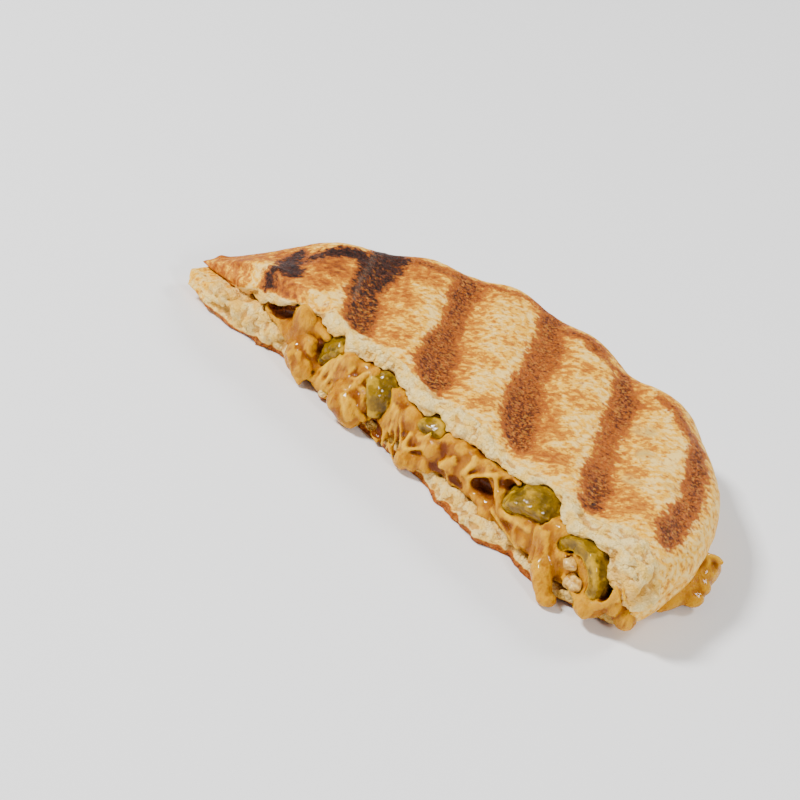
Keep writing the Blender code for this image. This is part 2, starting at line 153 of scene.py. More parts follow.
# Each grill mark is a line of x, y, half width, browning and blackening
MARKS = (
    ((-47.4, 1.6, 1.7, 1.0, 1.0), (-45.6, 2.4, 2.1, 1.0, 1.0), (-47.0, 5.2, 2.3, 1.0, 1.0),
     (-49.8, 7.6, 1.9, 1.0, 1.0), (-51.6, 10.8, 1.4, 1.0, 0.9), (-53.0, 13.4, 0.8, 1.0, 0.8)),
    ((-46.2, 5.2, 0.5, 0.6, 0.3), (-48.6, 10.8, 0.9, 0.9, 0.7), (-48.8, 13.7, 1.1, 1.0, 0.9),
     (-48.3, 16.5, 1.8, 1.0, 1.0), (-47.3, 19.2, 2.0, 1.0, 1.0), (-45.9, 22.0, 2.4, 1.0, 1.0),
     (-43.4, 22.6, 2.2, 1.0, 0.9), (-40.5, 20.4, 1.8, 1.0, 0.8)),
    ((-44.4, 30.4, 3.8, 1.0, 0.80), (-42.0, 26.7, 3.8, 1.0, 0.74), (-39.4, 21.9, 3.4, 1.0, 0.66),
     (-34.7, 14.0, 2.9, 1.0, 0.56), (-31.2, 9.5, 3.2, 1.0, 0.44), (-26.9, 5.5, 2.9, 1.0, 0.40),
     (-22.9, 2.8, 2.0, 0.9, 0.3)),
    ((-32.0, 40.4, 1.9, 0.9, 0.2), (-29.7, 39.0, 2.6, 0.9, 0.2), (-23.3, 29.5, 2.4, 0.8, 0.25),
     (-17.6, 21.8, 2.3, 0.75, 0.12), (-15.3, 18.4, 2.8, 0.8, 0.12), (-9.6, 10.1, 3.8, 0.88, 0.15),
     (-4.0, 4.2, 2.8, 1.0, 0.22), (-1.2, 2.8, 1.1, 0.9, 0.1)),
    ((-14.1, 49.5, 2.4, 0.9, 0.1), (-7.4, 41.4, 2.8, 0.72, 0.1), (-2.2, 33.7, 3.3, 0.66, 0.0),
     (1.8, 26.5, 3.0, 0.66, 0.0), (6.8, 19.7, 3.9, 0.85, 0.15), (12.4, 12.2, 3.4, 1.0, 0.28),
     (18.6, 6.9, 1.3, 1.0, 0.15)),
    ((7.2, 49.4, 1.5, 0.9, 0.1), (12.8, 43.7, 2.4, 0.95, 0.15), (17.8, 36.2, 2.4, 0.85, 0.1),
     (20.8, 30.9, 2.4, 0.62, 0.0), (25.0, 24.7, 2.8, 0.58, 0.0), (29.0, 19.6, 2.8, 0.62, 0.0),
     (33.0, 13.4, 3.0, 0.9, 0.25), (37.0, 7.8, 2.1, 1.0, 0.42)),
    ((16.0, 50.5, 0.6, 0.6, 0.0), (21.3, 49.3, 1.1, 0.85, 0.1), (26.4, 47.3, 1.3, 0.7, 0.0),
     (30.6, 45.4, 1.5, 0.85, 0.1), (34.7, 41.3, 1.7, 1.0, 0.25), (38.8, 36.1, 1.9, 0.9, 0.2),
     (43.4, 29.4, 1.9, 0.8, 0.15), (46.6, 22.8, 2.1, 0.85, 0.15), (49.3, 15.7, 2.2, 0.95, 0.25),
     (51.1, 12.6, 1.1, 0.9, 0.1)),
    ((-41.9, 33.0, 1.0, 0.9, 0.2), (-39.0, 35.2, 1.1, 0.9, 0.1), (-36.0, 37.0, 1.1, 0.85, 0.0),
     (-32.6, 38.6, 1.0, 0.85, 0.0)),
    ((-31.7, 41.4, 1.1, 0.85, 0.0), (-29.0, 44.2, 0.9, 0.8, 0.0), (-26.8, 45.4, 0.7, 0.65, 0.0),
     (-23.8, 47.4, 0.7, 0.55, 0.0), (-20.8, 49.4, 0.7, 0.6, 0.0), (-16.6, 50.6, 1.0, 0.8, 0.0)),
    ((-10.4, 48.6, 1.0, 0.8, 0.0), (-6.0, 50.4, 0.9, 0.8, 0.0), (-1.6, 49.8, 1.0, 0.95, 0.0),
     (2.4, 49.6, 0.5, 0.55, 0.0), (6.0, 49.8, 0.8, 0.8, 0.0)),
)
# The underside's marks are straight
UNDER_PITCH = 17.9
UNDER_TURN = math.radians(35.2)
UNDER_REACH = 51.0
UNDER_MARK = (2.7, 0.9, 0.15)  # half width, browning and blackening

# Toasted patches of the top: x, y, radius and strength
TOASTED = (
    (-43.5, 12.5, 8.0, 1.15), (-39.5, 5.5, 5.0, 0.95), (-30.0, 20.0, 6.5, 0.65), (-19.0, 8.0, 5.0, 0.55),
    (-34.0, 31.0, 6.0, 0.75), (-24.0, 15.0, 6.0, 0.45), (-10.0, 33.0, 5.0, 0.40), (5.0, 9.0, 6.0, 0.45),
    (-6.0, 22.0, 5.0, 0.35), (24.5, 9.5, 6.0, 0.65), (11.0, 31.0, 6.0, 0.50), (16.5, 17.0, 6.0, 0.40),
    (41.0, 14.5, 6.5, 0.75), (33.0, 23.0, 6.0, 0.45), (26.0, 34.0, 5.0, 0.30), (4.0, 42.0, 5.0, 0.35),
    (-57.5, 2.5, 3.5, 1.10), (-62.0, 4.0, 5.0, 0.80), (-52.5, 2.0, 2.0, 0.45), (-54.0, 10.0, 5.0, 0.85),
)
# Greyish patches: x, y and radius. The veil is a thin ashen line along the blackest mark.
ASHEN = ((23.6, 37.2, 3.6), (30.4, 29.9, 3.4), (35.4, 21.2, 3.0), (39.8, 26.9, 2.6), (-13.2, 14.4, 2.6))
VEIL = ((-45.7, 26.4), (-42.1, 21.8), (-38.3, 15.9), (-32.8, 9.1))

# Colours, as screen values. Each crust tone has the browning where it starts and where it is full.
CRUST_PALE = (250, 208, 112)
CRUST_TONES = ((0.26, 0.58, (244, 178, 20)), (0.64, 0.78, (200, 124, 0)),
               (0.86, 1.18, (164, 84, 0)), (1.16, 1.50, (122, 58, 8)))
ASHEN_CRUST = (206, 168, 82)
MARK_EDGE = (168, 84, 2)
MARK_BROWN = ((84, 30, 0), (164, 84, 12))
MARK_SPARKS = (206, 134, 44)
CHAR_BLACK = ((26, 8, 4), (72, 32, 14))
VEIL_GREY = (150, 120, 96)
CRUMB_WHITE = ((250, 218, 136), (248, 200, 88))
CRUMB_STAINED = (226, 158, 24)
# the painted shade of the crumb's hollows
CRUMB_HOLLOW_SHADE = (190, 126, 26)
FLAP_SKIN = (244, 200, 96)


def field(points, size, seed=0):
    """Smooth noise between -1 and 1 at each point, with lumps about one size across."""
    grid = points / size + 31.7 * seed
    cell = np.floor(grid).astype(np.int64)
    part = grid - cell
    part = part * part * (3.0 - 2.0 * part)
    total = np.zeros(len(points))
    for corner in np.ndindex(2, 2, 2):
        key = (cell + np.array(corner)) @ np.array((73856093, 19349663, 83492791))
        key = (key ^ (key >> 13)) * 1274126177
        value = ((key ^ (key >> 16)) & 0xFFFF) / 32767.5 - 1.0
        weight = np.prod(np.where(np.array(corner) == 1, part, 1.0 - part), axis=1)
        total += weight * value
    return total


def step(value, low, high):
    """Runs smoothly from 0 at low to 1 at high."""
    part = np.clip((value - low) / (high - low), 0.0, 1.0)
    return part * part * (3.0 - 2.0 * part)


def balls(spots_and_sizes, name):
    """One object of round lumps, each given by x, y, z and its radius or its three half widths."""
    made = []
    for x, y, z, size in spots_and_sizes:
        place = BUN_MIDDLE + Vector((x, y, z)) * MM
        bpy.ops.mesh.primitive_uv_sphere_add(segments=20, ring_count=12, radius=MM, location=place)
        bpy.context.object.scale = (size, size, size) if isinstance(size, float) else size
        made.append(bpy.context.object)
    for ball in made:
        ball.select_set(True)
    bpy.ops.object.join()
    bpy.ops.object.transform_apply(location=True, rotation=True, scale=True)
    bpy.context.object.name = name
    return bpy.context.object


def node_copy(node, name):
    """A copy of a CAD node with its loose triangles joined up."""
    piece = bpy.data.objects.new(name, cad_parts[node].data.copy())
    bpy.context.scene.collection.objects.link(piece)
    only(piece)
    bpy.ops.object.mode_set(mode="EDIT")
    bpy.ops.mesh.select_all(action="SELECT")
    bpy.ops.mesh.remove_doubles(threshold=0.000001)
    bpy.ops.object.mode_set(mode="OBJECT")
    piece.data.materials.clear()
    return piece


def grow_together(piece, others):
    """Joins other objects into a piece."""
    only(piece)
    for other in others:
        other.data.materials.clear()
        other.select_set(True)
    bpy.ops.object.join()


def remesh(piece, voxel, smoothing):
    """Rebuilds a closed piece in even faces of one voxel, in millimetres, and smooths it."""
    only(piece)
    even = piece.modifiers.new("even faces", "REMESH")
    even.mode = "VOXEL"
    even.voxel_size = voxel * MM
    bpy.ops.object.modifier_apply(modifier=even.name)
    eased = piece.modifiers.new("eased", "SMOOTH")
    eased.iterations = smoothing
    bpy.ops.object.modifier_apply(modifier=eased.name)
    bpy.ops.object.shade_smooth()


def spots(piece):
    """The piece's points, in millimetres from the bun's middle, and their normals."""
    count = len(piece.data.vertices)
    places = np.empty(count * 3)
    piece.data.vertices.foreach_get("co", places)
    normals = np.empty(count * 3)
    piece.data.vertices.foreach_get("normal", normals)
    return (places.reshape(-1, 3) - np.array(BUN_MIDDLE)) / MM, normals.reshape(-1, 3)


def push(piece, places, normals, amount):
    """Moves each point out along its normal, and keeps it above the table."""
    moved = places + normals * amount[:, None]
    moved[:, 2] = np.maximum(moved[:, 2], np.minimum(places[:, 2], 0.02))
    piece.data.vertices.foreach_set("co", (moved * MM + np.array(BUN_MIDDLE)).ravel())
    piece.data.update()


def hollowness(piece, rounds, depth):
    """1 where the surface is hollow by a depth in millimetres, 0 where it stands out as far. It is
    measured against the same surface evened out by a number of rounds."""
    places, normals = spots(piece)
    edges = np.empty(len(piece.data.edges) * 2, dtype=np.int64)
    piece.data.edges.foreach_get("vertices", edges)
    one, other = edges.reshape(-1, 2).T
    count = len(places)
    neighbours = np.bincount(edges, minlength=count)
    eased = places.T.copy()
    for _ in range(rounds):
        eased = np.array([np.bincount(one, axis[other], count) + np.bincount(other, axis[one], count)
                          for axis in eased]) / neighbours
    sunk = ((eased.T - places) * normals).sum(axis=1)
    return np.clip(0.5 + 0.5 * sunk / depth, 0.0, 1.0)


def paint(piece, **layers):
    """Stores numbers on the points, for the piece's material to read."""
    for name, values in layers.items():
        layer = piece.data.attributes.new(name, "FLOAT", "POINT")
        layer.data.foreach_set("value", np.asarray(values, dtype=np.float32))


def beside(places, line):
    """For each point, its distance in plan from a line and the line's own values nearest to it."""
    line = np.array(line, dtype=float)
    nearest = np.full(len(places), 1e9)
    values = np.zeros((len(places), line.shape[1] - 2))
    for first, second in zip(line, line[1:]):
        run = second[:2] - first[:2]
        offset = places[:, :2] - first[:2]
        share = np.clip(offset @ run / (run @ run), 0.0, 1.0)
        away = np.linalg.norm(offset - share[:, None] * run, axis=1)
        closer = away < nearest
        nearest = np.where(closer, away, nearest)
        here = first[2:] + share[:, None] * (second[2:] - first[2:])
        values = np.where(closer[:, None], here, values)
    return nearest, values.T


def patch(places, x, y, radius):
    """1 in the middle of a round patch of the plan and 0 outside it."""
    return 1.0 - step(np.hypot(places[:, 0] - x, places[:, 1] - y), 0.25 * radius, radius)


def clumps(places, bumps, seed):
    """Rounded clumps with clefts between them."""
    return sum(tall * (2.0 * np.abs(field(places, size, seed + index)) - 0.7)
               for index, (size, tall) in enumerate(bumps))


def grill_marks(places, face, lines):
    """Browning, blackening and the glow of toast beside the marks, on one face of the bun."""
    wander = places.copy()
    wander[:, 0] += 0.9 * field(places, 4.5, 21) + 0.45 * field(places, 1.3, 23)
    wander[:, 1] += 0.9 * field(places, 4.5, 22) + 0.45 * field(places, 1.3, 24)
    scorch, char, glow = np.zeros((3, len(places)))
    for line in lines:
        away, (half, brown, black) = beside(wander, line)
        band = 1.0 - step(away, half - 1.7, half + 1.9)
        scorch = np.maximum(scorch, band * brown)
        char = np.maximum(char, band * black)
        away, (half, brown, black) = beside(wander - np.array((1.9, 0.8, 0.0)), line)
        glow = np.maximum(glow, (1.0 - step(away, half - 0.5, half + 4.2)) * brown)
    return scorch * face, char * face, glow * face


def under_marks():
    """The straight marks of the underside, as lines like those of the top."""
    across = np.array((math.cos(UNDER_TURN), math.sin(UNDER_TURN)))
    along = np.array((-across[1], across[0]))
    lines = []
    for count in range(-2, 3):
        middle = across * UNDER_PITCH * count
        half_length = math.sqrt(UNDER_REACH ** 2 - (UNDER_PITCH * count) ** 2)
        lines.append([(*(middle + along * half_length * side), *UNDER_MARK) for side in (-1.0, 1.0)])
    return lines


def bake_bread(piece, upper):
    """Roughens the torn crumb, dents the crust, and paints where each is bare, brown or black."""
    places, normals = spots(piece)
    x, y, z = places.T
    none = np.zeros(len(places))
    fray = field(places, 2.6, 50) + 0.6 * field(places, 1.1, 51)
    upright = normals[:, 2]
    facing = upright if upper else -upright
    face = step(facing, 0.35, 0.8)
    front = step(-normals[:, 1] + 0.15 * fray, 0.12, 0.5)
    from_middle = np.hypot(x, y)
    rim = step(from_middle, *RIM) * (1.0 - face)

    # Where the crumb is bare: on the torn face, along its edge, and where the layers lie apart
    if upper:
        reach = np.interp(x, *CRUMB_REACH)
        lip = z - np.interp(x, *CRUST_LIP)
        bare = 1.0 - step(y + 0.9 * fray, reach - 0.9, reach + 0.9)
        tail = step(-x, *TAIL) * step(z - 0.35 * (x + 72.0), 0.6, 1.8)
        torn = np.maximum(front * step(-y, -9.0, -6.0), bare * step(z, 6.0, 8.0)) * (1.0 - tail)
        torn *= 1.0 - step(lip + 0.5 * fray, -0.6, 0.6)
        inside = step(-upright, 0.3, 0.7) * step(-z, -13.5, -12.0)
        skin = none
    else:
        crisp = 1.0 - step(z + 0.5 * fray, *CRISP_EDGE)
        torn = front * step(-y, -9.0, -6.0) * (1.0 - crisp)
        inside = step(upright, 0.3, 0.7) * step(z, 1.0, 2.5)
        skin = step(-x, *FLAP) * front * (1.0 - crisp)
    inside *= step(55.0 - from_middle, -2.0, 1.0)
    crumb = np.maximum(torn, inside) * (1.0 - 0.85 * skin)
    ground = 1.0 - crumb

    # How the crust is browned
    if upper:
        marked = np.maximum(face, patch(places, *BLACK_SPOT))
        scorch, char, glow = grill_marks(places, marked, MARKS)
        left = step(-x, 5.0, 45.0)
        toast = 0.60 * glow
        for px, py, radius, strength in TOASTED:
            toast = np.maximum(toast, strength * patch(places, px, py, radius) * step(facing, -0.2, 0.5))
        toast = np.maximum(toast, 0.80 * rim * left) - 0.60 * rim * (1.0 - left)
        toast -= 0.45 * step(from_middle, 49.0, 54.0) * step(x, 24.0, 34.0)
        rolled = front * step(lip, -0.5, 1.0) * step(x, -50.5, -48.5) * step(-x, 36.0, 40.0)
        toast = np.maximum(np.maximum(toast, 0.62 * tail), 0.95 * rolled)
        toast -= 0.5 * front * step(-x, 50.0, 52.0) * (1.0 - tail)
        ashen = none
        for px, py, radius in ASHEN:
            ashen = np.maximum(ashen, patch(places, px, py, radius) * face)
        away, _ = beside(places, VEIL)
        veil = (1.0 - step(away, 0.15, 0.75)) * face
        stained = 1.0 - step(z, *TOP_STAINS)
    else:
        scorch, char, glow = grill_marks(places, face, under_marks())
        low_rim = rim * (1.0 - step(z + 0.6 * fray, *LOW_RIM))
        toast = np.maximum(0.60 * glow, 0.25 * face + 0.85 * crisp * front + 0.95 * low_rim)
        scorch = np.maximum(scorch, np.maximum(0.66 * crisp * front, 0.45 * low_rim))
        ashen = veil = none
        stained = step(z, *BOTTOM_STAINS)
    stain = step(fray, -0.5, 0.9) * stained * crumb

    crust = sum(tall * field(places, size, 9 + index) for index, (size, tall) in enumerate(CRUST_BUMPS))
    grain_size, grain_height = MARK_GRAIN
    rough = grain_height * field(places, grain_size, 31) * scorch
    push(piece, places, normals, crumb * clumps(places, CRUMB_BUMPS, 0) + ground * crust + rough)
    # hollow, how sunk each point is, is read by the material to paint shade into the crumb's hollows
    paint(piece, crumb=crumb, scorch=scorch * ground, char=char * ground, toast=toast * ground,
          hollow=hollowness(piece, 10, 0.16), stain=stain, ashen=ashen, veil=veil, skin=skin)


def srgb(red, green, blue):
    """A colour given in screen values from 0 to 255, as the shaders want it."""
    linear = [((part / 255.0 + 0.055) / 1.055) ** 2.4 if part > 10 else part / 3295.0
              for part in (red, green, blue)]
    return (*linear, 1.0)


class Nodes:
    """Adds nodes to one material or group in few words."""

    def __init__(self, tree):
        self.tree = tree

    def add(self, kind, inputs=None, **settings):
        """One node, with values or other nodes' sockets for its inputs."""
        made = self.tree.nodes.new(kind)
        for name, value in settings.items():
            setattr(made, name, value)
        for name, value in (inputs or {}).items():
            self.feed(made.inputs[name], value)
        return made

    def feed(self, socket, value):
        """Gives a socket a value, or links it to another node's socket."""
        if isinstance(value, bpy.types.NodeSocket):
            self.tree.links.new(value, socket)
        else:
            socket.default_value = value

    def ramp(self, value, low, high):
        """Runs smoothly from 0 at low to 1 at high."""
        return self.add("ShaderNodeMapRange", {0: value, 1: low, 2: high},
                        interpolation_type="SMOOTHSTEP").outputs[0]

    def math(self, operation, first, second=0.0):
        """The result of one sum with two numbers."""
        return self.add("ShaderNodeMath", {0: first, 1: second}, operation=operation).outputs[0]

    def total(self, *weighted):
        """The sum of values, each times its weight."""
        result = 0.0
        for value, weight in weighted:
            result = self.math("ADD", self.math("MULTIPLY", value, weight), result)
        return result

    def mix(self, factor, first, second):
        """The first colour where the factor is 0 and the second where it is 1. Each is another
        node's socket or three screen values."""
        made = self.add("ShaderNodeMix", {0: factor}, data_type="RGBA")
        for socket, colour in ((made.inputs[6], first), (made.inputs[7], second)):
            self.feed(socket, srgb(*colour) if isinstance(colour, tuple) else colour)
        return made.outputs[2]

    def read(self, name, strength=1.0):
        """What was painted on the piece under a name, times a strength."""
        painted = self.add("ShaderNodeAttribute", attribute_name=name).outputs["Fac"]
        return painted if strength == 1.0 else self.math("MULTIPLY", painted, strength)

    def patches(self, size, detail=3.0, stretch=(1.0, 1.0, 1.0)):
        """Uneven patches of one size in millimetres, from the group below."""
        made = self.add("ShaderNodeGroup", node_tree=uneven_patches)
        made.inputs["Size"].default_value = size
        made.inputs["Detail"].default_value = detail
        made.inputs["Stretch"].default_value = stretch
        return made.outputs["Patches"]

    def bump(self, height, strength, distance):
        """A normal for relief of a height, in millimetres at most."""
        return self.add("ShaderNodeBump", {"Height": height, "Strength": strength,
                                           "Distance": distance * MM}).outputs[0]


def uneven_patches_group():
    """Noise with lumps of a given size, in millimetres, spread from 0 to 1. Where Stretch is below
    1, the lumps are drawn out along the tear, away from it or upwards, all turned a little."""
    group = bpy.data.node_groups.new("uneven patches", "ShaderNodeTree")
    group.interface.new_socket("Size", in_out="INPUT", socket_type="NodeSocketFloat")
    group.interface.new_socket("Detail", in_out="INPUT", socket_type="NodeSocketFloat")
    group.interface.new_socket("Stretch", in_out="INPUT", socket_type="NodeSocketVector")
    group.interface.new_socket("Patches", in_out="OUTPUT", socket_type="NodeSocketFloat")
    nodes = Nodes(group)
    given = nodes.add("NodeGroupInput")
    result = nodes.add("NodeGroupOutput")
    place = nodes.add("ShaderNodeTexCoord").outputs["Object"]
    turned = nodes.add("ShaderNodeMapping", {"Vector": place, "Rotation": (0.0, 0.0, 0.30)})
    drawn = nodes.add("ShaderNodeVectorMath", {0: turned.outputs[0], 1: given.outputs["Stretch"]},
                      operation="MULTIPLY")
    scale = nodes.math("DIVIDE", 1000.0, given.outputs["Size"])
    noise = nodes.add("ShaderNodeTexNoise", {"Vector": drawn.outputs[0], "Scale": scale,
                                             "Detail": given.outputs["Detail"], "Roughness": 0.6})
    group.links.new(nodes.ramp(noise.outputs["Fac"], 0.30, 0.70), result.inputs["Patches"])
    return group


uneven_patches = uneven_patches_group()


def new_material(name, constants):
    """A material's node helper and its shader, with the shader's constants set."""
    material = bpy.data.materials.new(name)
    material.use_nodes = True
    shader = material.node_tree.nodes["Principled BSDF"]
    for socket, value in constants.items():
        shader.inputs[socket].default_value = value
    return material, Nodes(material.node_tree), shader


def baked_bread_material():
    """Cream crust toasted in flecks, brown speckled marks with black char, and light crumb with painted
    shade in its hollows.
    """
    material, nodes, shader = new_material("baked_bread", {"Specular IOR Level": 0.22})
    crumb, scorch, char, toast = (nodes.read(name) for name in ("crumb", "scorch", "char", "toast"))
    flecks = nodes.patches(1.15, 5.0, (1.0, 0.70, 1.0))
    dashes = nodes.patches(4.5, 3.0, (1.0, 0.5, 1.0))
    fine = nodes.patches(0.7, 2.0)
    specks = nodes.patches(1.2, 4.0)
    cracks = nodes.ramp(nodes.patches(0.55, 5.0), 0.18, 0.74)

    browning = nodes.total((flecks, 0.70), (dashes, 0.20), (toast, 0.74))
    crust = CRUST_PALE
    for low, high, tone in CRUST_TONES:
        crust = nodes.mix(nodes.ramp(browning, low, high), crust, tone)
    ash = nodes.math("MULTIPLY", nodes.read("ashen"), nodes.ramp(dashes, 0.0, 0.8))
    crust = nodes.mix(ash, crust, ASHEN_CRUST)

    worn = nodes.total((scorch, 1.0), (specks, 0.50), (fine, 0.12), (1.0, -0.32))
    crust = nodes.mix(nodes.ramp(worn, 0.04, 0.40), crust, MARK_EDGE)
    crust = nodes.mix(nodes.ramp(worn, 0.42, 0.86), crust, nodes.mix(cracks, *MARK_BROWN))
    sparks = nodes.math("MULTIPLY", nodes.ramp(nodes.patches(0.9, 1.0), 0.74, 0.94), scorch)
    crust = nodes.mix(nodes.math("MULTIPLY", sparks, 0.6), crust, MARK_SPARKS)
    burnt = nodes.total((char, 1.0), (specks, 0.55), (fine, 0.20), (1.0, -0.38))
    crust = nodes.mix(nodes.ramp(burnt, 0.22, 0.74), crust, nodes.mix(cracks, *CHAR_BLACK))
    crust = nodes.mix(nodes.math("MULTIPLY", nodes.read("veil", 0.45), fine), crust, VEIL_GREY)

    inner = nodes.mix(nodes.ramp(nodes.patches(2.2, 4.0), 0.15, 0.9), *CRUMB_WHITE)
    inner = nodes.mix(nodes.read("stain", 0.6), inner, CRUMB_STAINED)
    # painted shade: the crumb turns tan where its surface is hollow
    deep = nodes.math("MULTIPLY", nodes.ramp(nodes.read("hollow"), 0.55, 1.0), 0.75)
    inner = nodes.mix(deep, inner, CRUMB_HOLLOW_SHADE)
    inner = nodes.mix(nodes.read("skin", 0.8), inner, FLAP_SKIN)
    bare = nodes.ramp(nodes.total((crumb, 1.0), (fine, 0.2), (1.0, -0.1)), 0.25, 0.7)
    nodes.feed(shader.inputs["Base Color"], nodes.mix(bare, crust, inner))
    roughness = nodes.total((scorch, -0.20), (crumb, 0.14), (fine, 0.1), (1.0, 0.56))
    nodes.feed(shader.inputs["Roughness"], roughness)

    pores = nodes.add("ShaderNodeTexVoronoi", {"Scale": 900.0}, feature="SMOOTH_F1")
    nodes.feed(pores.inputs["Vector"], nodes.add("ShaderNodeTexCoord").outputs["Object"])
    fluff = nodes.math("MULTIPLY", nodes.total((fine, 1.0), (pores.outputs["Distance"], 1.2)), crumb)
    grain = nodes.math("MULTIPLY", cracks, scorch)
    height = nodes.total((fluff, 0.75), (grain, 0.7), (flecks, 0.40), (fine, 0.10))
    nodes.feed(shader.inputs["Normal"], nodes.bump(height, 0.85, 0.5))
    return material


baked_bread = baked_bread_material()
for node_name, clump_list in (("bread_top", TOP_CLUMPS), ("bread_bottom", BOTTOM_CLUMPS)):
    bread = node_copy(node_name, node_name + "_baked")
    grow_together(bread, [balls(clump_list, "clumps")])
    remesh(bread, BREAD_VOXEL, BREAD_SMOOTHING)
    bake_bread(bread, node_name == "bread_top")
    bread.data.materials.append(baked_bread)
    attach(bread, "root")
    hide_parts(node_name)


# MELTED CHEESE. Golden cheese that was grated into the bun and melted round the pepper. It was
# pulled when the bun was torn, so that it stands in glossy folds, strings and skins round dark
# hollows, hangs over the lower bread in drips, and was squeezed out of the seam at the rim.
CHEESE_VOXEL = 0.375
CHEESE_SMOOTHING = 7
CHEESE_EASING = (0.5, 8)  # the voxel and smoothing that first round off the CAD's facets
CHEESE_FOLDS = ((5.0, 0.55), (1.8, 0.26), (0.9, 0.09))

# Soft lumps: x, y, z and their half widths
CHEESE_LUMPS = (
    (-35.4, -0.5, 11.2, (2.8, 1.4, 3.2)), (-31.9, -1.0, 7.4, (2.4, 1.4, 2.1)),
    (-20.8, -0.3, 10.3, (2.2, 1.5, 2.0)), (-13.7, -0.9, 12.7, (1.0, 1.2, 1.5)),
    (-2.2, -0.3, 9.9, (2.6, 1.5, 2.2)), (10.4, -0.6, 7.7, (1.8, 1.4, 1.6)),
    (17.9, 0.4, 12.2, (2.2, 1.4, 1.3)), (0.5, -2.6, 2.6, (1.6, 1.4, 2.1)),
    (2.6, -1.4, 3.3, (1.4, 1.3, 1.9)), (30.7, -0.6, 5.6, (3.0, 1.3, 1.8)),
    (21.3, 0.3, 4.0, (2.2, 1.4, 1.7)), (50.0, -2.2, 4.0, (2.1, 1.5, 2.2)),
    (53.6, 0.6, 6.6, (1.9, 1.4, 2.2)), (56.0, 2.6, 4.6, (2.0, 1.6, 2.2)),
    (-30.8, -2.4, 3.3, (2.4, 1.5, 2.6)), (-25.6, -0.5, 2.6, (2.8, 1.4, 2.0)),
    (-17.4, -4.4, 4.5, (2.2, 1.6, 2.2)), (-13.8, -1.7, 6.7, (2.0, 1.4, 2.4)),
    (-8.0, -0.2, 3.4, (2.2, 1.2, 1.8)), (4.8, -1.0, 8.1, (2.6, 1.4, 2.0)),
    (4.4, -0.6, 4.2, (2.0, 1.4, 1.8)), (43.6, -4.6, 1.5, (1.9, 1.7, 1.4)),
    (37.6, -0.8, 4.6, (2.0, 1.3, 1.8)), (55.2, 24.6, 2.0, (1.8, 2.6, 1.4)),
    (54.0, 27.6, 3.0, (1.8, 2.4, 1.7)), (52.2, 30.6, 3.8, (1.8, 2.2, 1.8)),
    (50.6, 33.0, 3.8, (1.8, 1.8, 1.5)),
)
STRING_WIDTH = 0.85  # of the measured one, as the smoothing spreads them
